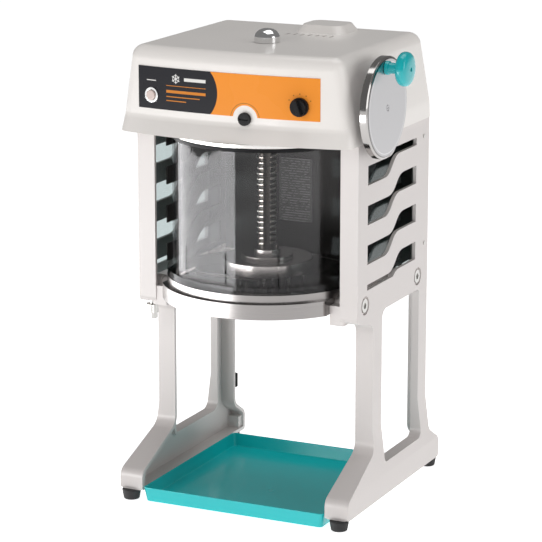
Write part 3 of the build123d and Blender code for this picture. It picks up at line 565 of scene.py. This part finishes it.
# ------------------------------------------------------------------ modelling by operators
class Bench:
    """Wraps the operators that shape a mesh, so that each acts on one object only."""

    @staticmethod
    def clear() -> None:
        """Leaves edit mode and deselects everything."""
        if bpy.context.object and bpy.context.object.mode != "OBJECT":
            bpy.ops.object.mode_set(mode="OBJECT")
        bpy.ops.object.select_all(action="DESELECT")

    @classmethod
    def hold(cls, piece: bpy.types.Object) -> bpy.types.Object:
        """Makes a piece the only selected and the active object."""
        cls.clear()
        piece.select_set(True)
        bpy.context.view_layer.objects.active = piece
        return piece

    @classmethod
    def edit(cls, piece: bpy.types.Object, kind: str = "FACE") -> bpy.types.Object:
        """Opens a piece in edit mode with nothing selected."""
        cls.hold(piece)
        bpy.ops.object.mode_set(mode="EDIT")
        bpy.ops.mesh.select_mode(type=kind)
        bpy.ops.mesh.select_all(action="DESELECT")
        return piece

    @classmethod
    def pick_edges(cls, piece: bpy.types.Object, test: Any) -> int:
        """Selects the edges whose two ends pass a test, and opens edit mode.

        Args:
            piece: the object.
            test: a function of the two end vertices that says whether the edge is taken.

        Returns:
            How many edges were selected.
        """
        cls.edit(piece, "EDGE")
        bpy.ops.object.mode_set(mode="OBJECT")
        mesh = piece.data
        count = 0
        for edge in mesh.edges:
            ends = [mesh.vertices[i] for i in edge.vertices]
            edge.select = bool(test(*ends))
            count += edge.select
        bpy.ops.object.mode_set(mode="EDIT")
        return count

    @classmethod
    def copy_node(cls, node: str, name: str) -> bpy.types.Object:
        """Copies a CAD node, joins its loose triangles and frees its flat faces of cuts.

        Args:
            node: the CAD node.
            name: the copy's name.

        Returns:
            The copy, at the origin and with no parent.
        """
        source = frame["nodes"][node]
        piece = bpy.data.objects.new(name, source.data.copy())
        piece.data.materials.clear()
        bpy.context.scene.collection.objects.link(piece)
        cls.hold(piece)
        bpy.ops.object.mode_set(mode="EDIT")
        bpy.ops.mesh.select_all(action="SELECT")
        bpy.ops.mesh.remove_doubles(threshold=0.000002)
        bpy.ops.mesh.customdata_custom_splitnormals_clear()
        bpy.ops.mesh.dissolve_limited(angle_limit=radians(0.25))
        bpy.ops.object.mode_set(mode="OBJECT")
        return piece

    @classmethod
    def modify(cls, piece: bpy.types.Object, kind: str, **settings: Any) -> None:
        """Adds a modifier with its settings and applies it."""
        cls.hold(piece)
        added = piece.modifiers.new(kind.lower(), kind)
        for name, value in settings.items():
            setattr(added, name, value)
        bpy.ops.object.modifier_apply(modifier=added.name)

    @classmethod
    def soften(
        cls, piece: bpy.types.Object, width: float, rounds: int = 3, angle: float = 35.0
    ) -> None:
        """Rounds the sharp edges of a piece and shades it smooth.

        Args:
            piece: the object.
            width: width of the rounding, in metres.
            rounds: segments across it.
            angle: edges sharper than this are rounded, in degrees.
        """
        if width > 0:
            cls.modify(
                piece,
                "BEVEL",
                width=width,
                segments=rounds,
                limit_method="ANGLE",
                angle_limit=radians(angle),
                miter_outer="MITER_ARC",
                harden_normals=False,
            )
        cls.hold(piece)
        bpy.ops.object.shade_smooth_by_angle(angle=SMOOTH_ANGLE)
        cls.modify(piece, "WEIGHTED_NORMAL", keep_sharp=True, weight=60)

    @classmethod
    def lathe(
        cls,
        name: str,
        profile: Sequence[tuple[float, float]],
        centre: Vector,
        axis: Axis = Axis.Z,
        steps: int = 96,
        lead: float = 0.0,
        turns: int = 1,
    ) -> bpy.types.Object:
        """Turns a closed outline round an axis, or winds it into a helix.

        Args:
            name: the piece's name.
            profile: (radius, height) points of the outline, in metres.
            centre: the point of the axis that height 0 is at.
            axis: the axis.
            steps: segments to a turn.
            lead: rise to a turn, 0 for a plain ring.
            turns: how many turns a helix has.

        Returns:
            The piece.
        """
        cls.clear()
        bpy.ops.mesh.primitive_circle_add(vertices=len(profile), radius=1.0, fill_type="NOTHING")
        piece = bpy.context.object
        piece.name = name
        for vertex, (radius, height) in zip(piece.data.vertices, profile):
            vertex.co = (radius, 0.0, height)
        cls.modify(
            piece,
            "SCREW",
            axis="Z",
            angle=2 * pi,
            screw_offset=lead,
            iterations=turns,
            steps=steps,
            render_steps=steps,
            use_merge_vertices=lead == 0.0,
            merge_threshold=0.000001,
        )
        turn = {Axis.X: (0, pi / 2, 0), Axis.Y: (-pi / 2, 0, 0), Axis.Z: (0, 0, 0)}[axis]
        piece.rotation_euler = turn
        piece.location = centre
        cls.hold(piece)
        bpy.ops.object.transform_apply(location=True, rotation=True, scale=True)
        bpy.ops.object.mode_set(mode="EDIT")
        bpy.ops.mesh.select_all(action="SELECT")
        bpy.ops.mesh.normals_make_consistent(inside=False)
        bpy.ops.object.mode_set(mode="OBJECT")
        return piece


# ------------------------------------------------------------------ assemblies
FINISHES = {
    "frame": Coating("frame_paint", (0.64, 0.6, 0.585), 0.38, 0.02, 500.0, 0.00003),
    "head": Coating("head_shell", (0.8, 0.765, 0.735), 0.3, 0.012, 900.0, 0.000012, 0.15),
    "rubber": Rubber("foot_rubber", (0.012, 0.012, 0.013)),
    # Painted shade: near-black liner sheets stand in for the shade inside the ice chamber
    "liner": Coating("dark_liner", (0.03, 0.028, 0.027), 0.5, 0.15, 800.0, 0.00003),
    "clear": ClearSheet("clear_sheet", (0.95, 0.97, 0.97), (0.72, 0.77, 0.77), 0.04, 0.5),
    "smoke": ClearSheet("smoked_sheet", (0.95, 0.95, 0.97), (0.87, 0.86, 0.86), 0.02, 0.35),
    "zinc": Metal("zinc_screw", (0.6, 0.59, 0.57), 0.32, Grain.CAST),
    "black": Coating("black_plastic", (0.01, 0.01, 0.011), 0.38, 0.1, 1200.0, 0.00001, gloss=0.12),
    "panel": PanelPrint("panel_print", (0.86, 0.29, 0.035)),
    "notice": NoticePrint("notice_sheet", (0.13, 0.13, 0.13)),
    "teal": Coating("teal_plastic", (0.0, 0.4, 0.43), 0.26, 0.04, 900.0, 0.00001, 0.3),
    # Painted light: a lighter copy of the teal plastic, so the tray's floor under the table reads
    # as brightly lit
    "tray": Coating("teal_plastic_painted_light", (0.005, 0.53, 0.55), 0.26, 0.04, 900.0, 0.00001, 0.2),
    "lens": Coating("button_lens", (0.62, 0.5, 0.46), 0.25, 0.08, 900.0, 0.00001, 0.4),
    "chrome": Metal("chrome_trim", (0.82, 0.82, 0.82), 0.12, Grain.CAST, depth=0.000002),
    "iron": Coating("motor_iron", (0.05, 0.06, 0.065), 0.5, 0.2, 300.0, 0.0001),
    "brass": Metal("brass_bush", (0.62, 0.44, 0.16), 0.3, Grain.BANDED),
    "steel": Metal("screw_steel", (0.5, 0.49, 0.47), 0.28, Grain.BANDED, depth=0.000008),
    "belt": Rubber("belt_rubber", (0.012, 0.012, 0.012)),
}
SLOTS = {
    "frame": "frame_paint",
    "head": "head_shell",
    "rubber": "foot_rubber",
    "liner": "dark_liner",
    "clear": "clear_sheet",
    "smoke": "smoked_sheet",
    "zinc": "zinc_screw",
    "alloy": "table_alloy",
    "black": "black_plastic",
    "panel": "panel_orange",
    "notice": "pale_sheet",
    "teal": "teal_plastic",
    "tray": "teal_plastic",
    "lens": "pale_sheet",
    "chrome": "chrome_trim",
    "wheel": "chrome_trim",
    "iron": "motor_iron",
    "brass": "brass_bush",
    "steel": "screw_steel",
    "thread": "screw_steel",
    "plate": "polished_steel",
    "belt": "belt_rubber",
}


class Materials:
    """Makes each finish once and hands it out."""

    def __init__(self) -> None:
        """Adds the finishes whose marks are centred on a CAD node."""
        made = dict(FINISHES)
        low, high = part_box("press_plate")
        axis = tuple((low + high) / 2)
        turned = {"grain": Grain.BANDED, "axis": Axis.Z, "centre": axis}
        made["alloy"] = Metal("table_alloy", (0.3, 0.285, 0.28), 0.25, pitch=1400.0, **turned)
        made["plate"] = Metal("polished_steel", (0.74, 0.72, 0.7), 0.2, **turned)
        # The thread's own colour is the near-black painted shade of its core
        made["thread"] = ThreadMetal("thread_steel", (0.12, 0.115, 0.105), axis)
        low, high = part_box("handwheel")
        hub = tuple((low + high) / 2)
        made["wheel"] = WheelMetal("turned_chrome", (0.5, 0.495, 0.505), hub)
        self._finishes = made
        self._built: dict[str, bpy.types.Material] = {}

    def get(self, key: str) -> bpy.types.Material:
        """The material of a finish, made when first asked for."""
        if key not in self._built:
            self._built[key] = self._finishes[key].build()
        return self._built[key]


class Assembly:
    """A group of pieces that shares a stock of materials."""

    def __init__(self, materials: Materials) -> None:
        """Keeps the stock of materials."""
        self.materials = materials

    def dress(self, piece: bpy.types.Object, finish: str, *nodes: str) -> bpy.types.Object:
        """Gives a piece its material, body and the CAD nodes that it stands for.

        Args:
            piece: the finished piece.
            finish: key of its finish.
            nodes: the CAD nodes that it replaces, the first of which it moves with.

        Returns:
            The piece.
        """
        piece.data.materials.clear()
        piece.data.materials.append(self.materials.get(finish))
        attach(piece, body_of(nodes[0]))
        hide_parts(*nodes)
        LOG.info("%s: %d faces", piece.name, len(piece.data.polygons))
        return piece

    def refine(
        self, node: str, finish: str, width: float = 0.6 * MM, rounds: int = 2
    ) -> bpy.types.Object:
        """Replaces a CAD node by a copy with rounded edges and smooth shading.

        Args:
            node: the CAD node.
            finish: key of the copy's finish.
            width: width of the edge rounding, in metres.
            rounds: segments across the rounding.

        Returns:
            The copy.
        """
        piece = Bench.copy_node(node, f"{node}_skin")
        Bench.soften(piece, width, rounds)
        return self.dress(piece, finish, node)


def body_of(node: str) -> str:
    """The body that a CAD node belongs to."""
    for body, members in frame["record"]["behaviour"]["bodies"].items():
        if node in members:
            return body
    raise ValueError(node)


@dataclass
class Stand(Assembly):
    """Side frames, feet, liners and what fastens them."""

    materials: Materials
    frame_edge: float = 1.6 * MM
    foot_edge: float = 1.5 * MM
    liner_front: float = -78.0 * MM

    def liner(self, node: str) -> None:
        """Trims a liner's front margin, so that the slots show from inside at a slant."""
        piece = Bench.edit(Bench.copy_node(node, f"{node}_skin"))
        bpy.ops.mesh.select_all(action="SELECT")
        bpy.ops.mesh.bisect(
            plane_co=(0, self.liner_front, 0), plane_no=(0, 1, 0), clear_inner=True, use_fill=True
        )
        bpy.ops.object.mode_set(mode="OBJECT")
        Bench.soften(piece, 0.3 * MM, 2)
        # The near-black liner finish is painted shade for the inside of the chamber
        self.dress(piece, "liner", node)

    def build(self) -> None:
        """Builds both sides."""
        for hand in ("left", "right"):
            self.refine(f"side_frame_{hand}", "frame", self.frame_edge, 3)
            self.liner(f"side_liner_{hand}")
            self.refine(f"side_window_{hand}", "clear", 0.2 * MM)
            for end in ("front", "rear"):
                self.refine(f"foot_{end}_{hand}", "rubber", self.foot_edge, 3)
        self.refine("table_screws", "zinc", 0.5 * MM)
        self.refine("frame_screws", "zinc", 0.5 * MM)
        # Painted shade: the steel back plate takes the near-black liner finish for the shade
        # behind the cover
        self.refine("back_plate", "liner", 0.3 * MM)
        self.refine("notice_plate", "notice", 0.1 * MM)
        self.refine("cord_clamp", "black", 0.6 * MM)
        self.refine("cord_gland", "black", 0.8 * MM)


@dataclass
class Chamber(Assembly):
    """Ice table, smoked cover and the rings that guide it, with the blade below."""

    materials: Materials
    table_edge: float = 0.8 * MM

    def build(self) -> None:
        """Builds the chamber."""
        self.refine("ice_table", "alloy", self.table_edge, 3)
        self.refine("chamber_cover", "smoke", 0.4 * MM)
        self.refine("guide_band", "black", 0.5 * MM)
        self.refine("chamber_ring", "plate", 0.5 * MM)
        self.refine("blade_holder", "alloy", 0.4 * MM)
        self.refine("blade", "steel", 0.0)
        self.refine("adjuster", "zinc", 0.5 * MM)


@dataclass
class FeedScrew(Assembly):
    """Threaded screw with its keyway, press plate, hub and spikes."""

    materials: Materials
    pitch: float = 7.5 * MM
    core: float = 12.1 * MM
    outside: float = 14.45 * MM
    steps: int = 56
    keyway_wide: float = 9.6 * MM
    keyway_deep: float = 3.4 * MM
    keyway_turn: float = radians(22.0)

    def thread(self) -> bpy.types.Object:
        """Winds the thread, closes it on its core and cuts the keyway."""
        low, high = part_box("feed_screw")
        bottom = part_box("plate_hub")[1].z
        axis = Vector(((low.x + high.x) / 2, (low.y + high.y) / 2, bottom))
        turns = int((high.z - bottom) / self.pitch) - 1
        crest, flank = self.pitch * 0.17, self.pitch * 0.36
        ridge = Bench.lathe(
            "thread_ridge",
            (
                (self.core - 0.3 * MM, 0.0),
                (self.core, 0.0),
                (self.outside, flank - crest / 2),
                (self.outside, flank + crest / 2),
                (self.core, 2 * flank),
                (self.core - 0.3 * MM, 2 * flank),
            ),
            axis,
            steps=self.steps,
            lead=self.pitch,
            turns=turns,
        )
        Bench.edit(ridge, "EDGE")
        bpy.ops.mesh.select_non_manifold()
        bpy.ops.mesh.edge_face_add()
        bpy.ops.object.mode_set(mode="OBJECT")
        Bench.clear()
        bpy.ops.mesh.primitive_cylinder_add(
            vertices=96,
            radius=self.core,
            depth=high.z - low.z,
            location=(axis.x, axis.y, (low.z + high.z) / 2),
        )
        core = bpy.context.object
        Bench.hold(core)
        bpy.ops.object.transform_apply(location=True, rotation=True, scale=True)
        Bench.soften(core, 0.5 * MM, 2)
        cutter = self._cutter(axis, low.z, high.z)
        for piece in (ridge, core):
            Bench.modify(piece, "BOOLEAN", operation="DIFFERENCE", object=cutter, solver="EXACT")
        bpy.data.objects.remove(cutter)
        Bench.hold(ridge)
        core.select_set(True)
        bpy.ops.object.join()
        ridge.name = "threaded_screw"
        bpy.ops.object.shade_smooth_by_angle(angle=radians(30))
        return ridge

    def _cutter(self, axis: Vector, low: float, high: float) -> bpy.types.Object:
        """A long block where the keyway goes."""
        Bench.clear()
        bpy.ops.mesh.primitive_cube_add(size=1.0)
        cutter = bpy.context.object
        cutter.scale = (self.keyway_wide, 2 * self.keyway_deep, high - low)
        cutter.rotation_euler = (0, 0, self.keyway_turn)
        reach = self.outside
        cutter.location = (
            axis.x + reach * sin(self.keyway_turn),
            axis.y - reach * cos(self.keyway_turn),
            (low + high) / 2 + (axis.z - low) + 0.5 * MM,
        )
        Bench.hold(cutter)
        bpy.ops.object.transform_apply(location=True, rotation=True, scale=True)
        return cutter

    def build(self) -> None:
        """Builds the screw and what hangs on it."""
        self.dress(self.thread(), "thread", "feed_screw")
        self.refine("press_plate", "plate", 0.5 * MM, 3)
        self.refine("plate_hub", "plate", 0.7 * MM, 3)
        self.refine("plate_spikes", "steel", 0.2 * MM)
        self.refine("dome_cap", "chrome", 0.3 * MM)


@dataclass
class Head(Assembly):
    """Off-white head shell with its control plate, button, lamp ring and knobs."""

    materials: Materials
    crease_height: float = 541.5 * MM
    crease_round: float = 4.0 * MM

    def shell(self) -> None:
        """Rounds the crease where the front flares out, then the other edges."""
        piece = Bench.copy_node("head_cover", "head_cover_skin")

        def outer_crease(end: bpy.types.MeshVertex) -> bool:
            """Whether a vertex is on the crease of the outer skin."""
            outwards = end.normal.x * end.co.x + end.normal.y * end.co.y > 0
            return abs(end.co.z - self.crease_height) < 0.2 * MM and outwards

        count = Bench.pick_edges(piece, lambda a, b: outer_crease(a) and outer_crease(b))
        LOG.info("front crease has %d edges", count)
        bpy.ops.mesh.bevel(offset=self.crease_round, offset_type="OFFSET", segments=6)
        bpy.ops.object.mode_set(mode="OBJECT")
        Bench.soften(piece, 0.7 * MM, 2, 50.0)
        self.dress(piece, "head", "head_cover")

    def build(self) -> None:
        """Builds the head."""
        self.shell()
        self.refine("control_plate", "panel", 0.15 * MM)
        self.refine("lamp_ring", "chrome", 0.5 * MM, 3)
        self.refine("start_button", "lens", 0.3 * MM)
        self.refine("switch_knob", "black", 0.6 * MM, 3)
        self.refine("feed_selector", "black", 0.5 * MM)


@dataclass
class Handwheel(Assembly):
    """Chromed wheel, its shaft and the teal crank knob."""

    materials: Materials
    hole: float = 2.7 * MM
    hole_deep: float = 3.5 * MM
    neck: float = 7.2 * MM
    collar: float = 9.2 * MM
    collar_long: float = 5.5 * MM
    head_thick: float = 18.5 * MM

    def knob(self) -> bpy.types.Object:
        """Turns the crank knob: collar, neck, thick rounded head and a hole in its face."""
        low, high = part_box("crank_knob")
        reach = high.x - low.x
        radius = (high.z - low.z) / 2
        back = reach - self.head_thick
        outline = (
            (0.0, reach - self.hole_deep),
            (self.hole, reach - self.hole_deep),
            (self.hole, reach - 0.3 * MM),
            (self.hole + 0.6 * MM, reach),
            (radius * 0.42, reach - 0.1 * MM),
            (radius * 0.7, reach - 0.9 * MM),
            (radius * 0.87, reach - 2.2 * MM),
            (radius * 0.965, reach - 4.4 * MM),
            (radius, reach - 7.2 * MM),
            (radius, reach - 10.5 * MM),
            (radius * 0.965, reach - 13.2 * MM),
            (radius * 0.87, reach - 15.4 * MM),
            (radius * 0.7, back + 1.4 * MM),
            (radius * 0.5, back + 0.3 * MM),
            (self.neck + 1.6 * MM, back - 0.6 * MM),
            (self.neck, back - 2.2 * MM),
            (self.neck, self.collar_long + 1.4 * MM),
            (self.neck + 0.8 * MM, self.collar_long + 0.4 * MM),
            (self.collar - 0.6 * MM, self.collar_long),
            (self.collar, self.collar_long - 0.8 * MM),
            (self.collar, 0.6 * MM),
            (self.collar - 0.6 * MM, 0.0),
            (0.0, 0.0),
        )
        axis = Vector((low.x, (low.y + high.y) / 2, (low.z + high.z) / 2))
        piece = Bench.lathe("crank_knob_skin", outline, axis, Axis.X, 72)
        Bench.soften(piece, 0.0)
        return piece

    def build(self) -> None:
        """Builds the wheel."""
        self.refine("handwheel", "wheel", 0.5 * MM, 3)
        self.dress(self.knob(), "teal", "crank_knob")
        self.refine("crank_pin", "steel", 0.4 * MM)
        self.refine("wheel_shaft", "steel", 0.4 * MM)
        self.refine("shaft_bush", "brass", 0.4 * MM)


@dataclass
class Tray(Assembly):
    """Teal drip tray, in a lighter copy of the teal plastic as painted light."""

    materials: Materials

    def build(self) -> None:
        """Builds the tray."""
        self.refine("drip_tray", "tray", 0.9 * MM, 3)


@dataclass
class Works(Assembly):
    """The parts inside the head, which keep their CAD shapes."""

    materials: Materials

    def build(self) -> None:
        """Dresses every CAD node that no piece stands for."""
        slots = {part["node"]: part["material_slot"] for part in frame["record"]["subparts"]}
        by_slot = {slot: key for key, slot in reversed(list(SLOTS.items()))}
        for node, shape in frame["nodes"].items():
            material = self.materials.get(by_slot[slots[node]])
            shape.data.materials.clear()
            shape.data.materials.append(material)


@dataclass
class Studio:
    """Pale floor, soft lights and the camera."""

    azimuth: float = radians(25.34)
    elevation: float = radians(13.57)
    distance: float = 3.5506
    lens: float = 168.5
    target: Vector = Vector((-0.01464, -0.00693, 0.308))
    floor_size: float = 60.0
    floor_drop: float = 0.0002
    floor_glow: float = 0.8
    sky: float = 0.22

    def _soft_box(
        self,
        name: str,
        at: Vector,
        size: tuple[float, float],
        power: float,
        seen: Seen = Seen.ALL,
        aim_height: float = 0.3,
    ) -> None:
        """Adds a rectangular light that faces the object.

        Args:
            name: the light's name.
            at: where its middle is.
            size: its width and height.
            power: its power in watts.
            seen: whether it lights surfaces, shows in reflections, or both; one that only
                shows in reflections stands upright.
            aim_height: height of the point on the object's axis that it faces.
        """
        light = bpy.data.lights.new(name, "AREA")
        light.shape = "RECTANGLE"
        light.size, light.size_y = size
        light.energy = power
        lamp = bpy.data.objects.new(name, light)
        lamp.location = at
        aim = Vector((0, 0, at.z if seen is Seen.MIRRORED else aim_height)) - at
        lamp.rotation_euler = aim.to_track_quat("-Z", "Y").to_euler()
        lamp.visible_diffuse = seen is not Seen.MIRRORED
        lamp.visible_glossy = seen is not Seen.DIFFUSE
        lamp.visible_camera = False
        bpy.context.scene.collection.objects.link(lamp)

    def build(self) -> None:
        """Builds the studio."""
        Bench.clear()
        bpy.ops.mesh.primitive_plane_add(size=self.floor_size, location=(0, 0, -self.floor_drop))
        floor = bpy.context.object
        floor.name = "studio_floor"
        paper = Shader(
            "studio_paper",
            (0.93, 0.93, 0.93),
            Roughness=0.9,
            Emission_Strength=self.floor_glow,
        )
        paper.bsdf.inputs["Emission Color"].default_value = (1.0, 1.0, 1.0, 1.0)
        floor.data.materials.append(paper.material)
        world = bpy.data.worlds.new("studio")
        bpy.context.scene.world = world
        world.use_nodes = True
        sky = world.node_tree.nodes["Background"]
        sky.inputs["Color"].default_value = (1.0, 0.995, 0.99, 1.0)
        sky.inputs["Strength"].default_value = self.sky
        self._soft_box("key", Vector((-0.2, -3.0, 2.3)), (1.6, 1.6), 14.0, Seen.DIFFUSE)
        self._soft_box("low", Vector((-0.7, -2.0, 1.1)), (1.6, 0.8), 9.0, Seen.DIFFUSE, 0.1)
        self._soft_box("fill", Vector((2.8, -0.2, 1.4)), (1.2, 2.0), 16.0)
        self._soft_box("top", Vector((0.2, 0.4, 3.0)), (2.0, 2.0), 26.0)
        self._soft_box(
            "left_panel", Vector((-0.84, -0.505, 0.165)), (2.13, 0.33), 17.0, Seen.MIRRORED
        )
        back = Vector(
            (
                sin(self.azimuth) * cos(self.elevation),
                -cos(self.azimuth) * cos(self.elevation),
                sin(self.elevation),
            )
        )
        camera = bpy.data.cameras.new("camera")
        camera.lens = self.lens
        camera.clip_end = 100.0
        holder = bpy.data.objects.new("camera", camera)
        holder.location = self.target + back * self.distance
        holder.rotation_euler = back.to_track_quat("Z", "Y").to_euler()
        bpy.context.scene.collection.objects.link(holder)
        bpy.context.scene.camera = holder
        view = bpy.context.scene.view_settings
        view.view_transform = "Standard"
        view.look = "None"


def main() -> None:
    """Builds the object, then the studio."""
    logging.basicConfig(level=logging.INFO, format="%(name)s: %(message)s")
    materials = Materials()
    for assembly in (Works, Stand, Chamber, FeedScrew, Head, Handwheel, Tray):
        assembly(materials).build()
        LOG.info("%s is built", assembly.__name__)
    Studio().build()
    Bench.clear()


if __name__ == "__main__":
    main()
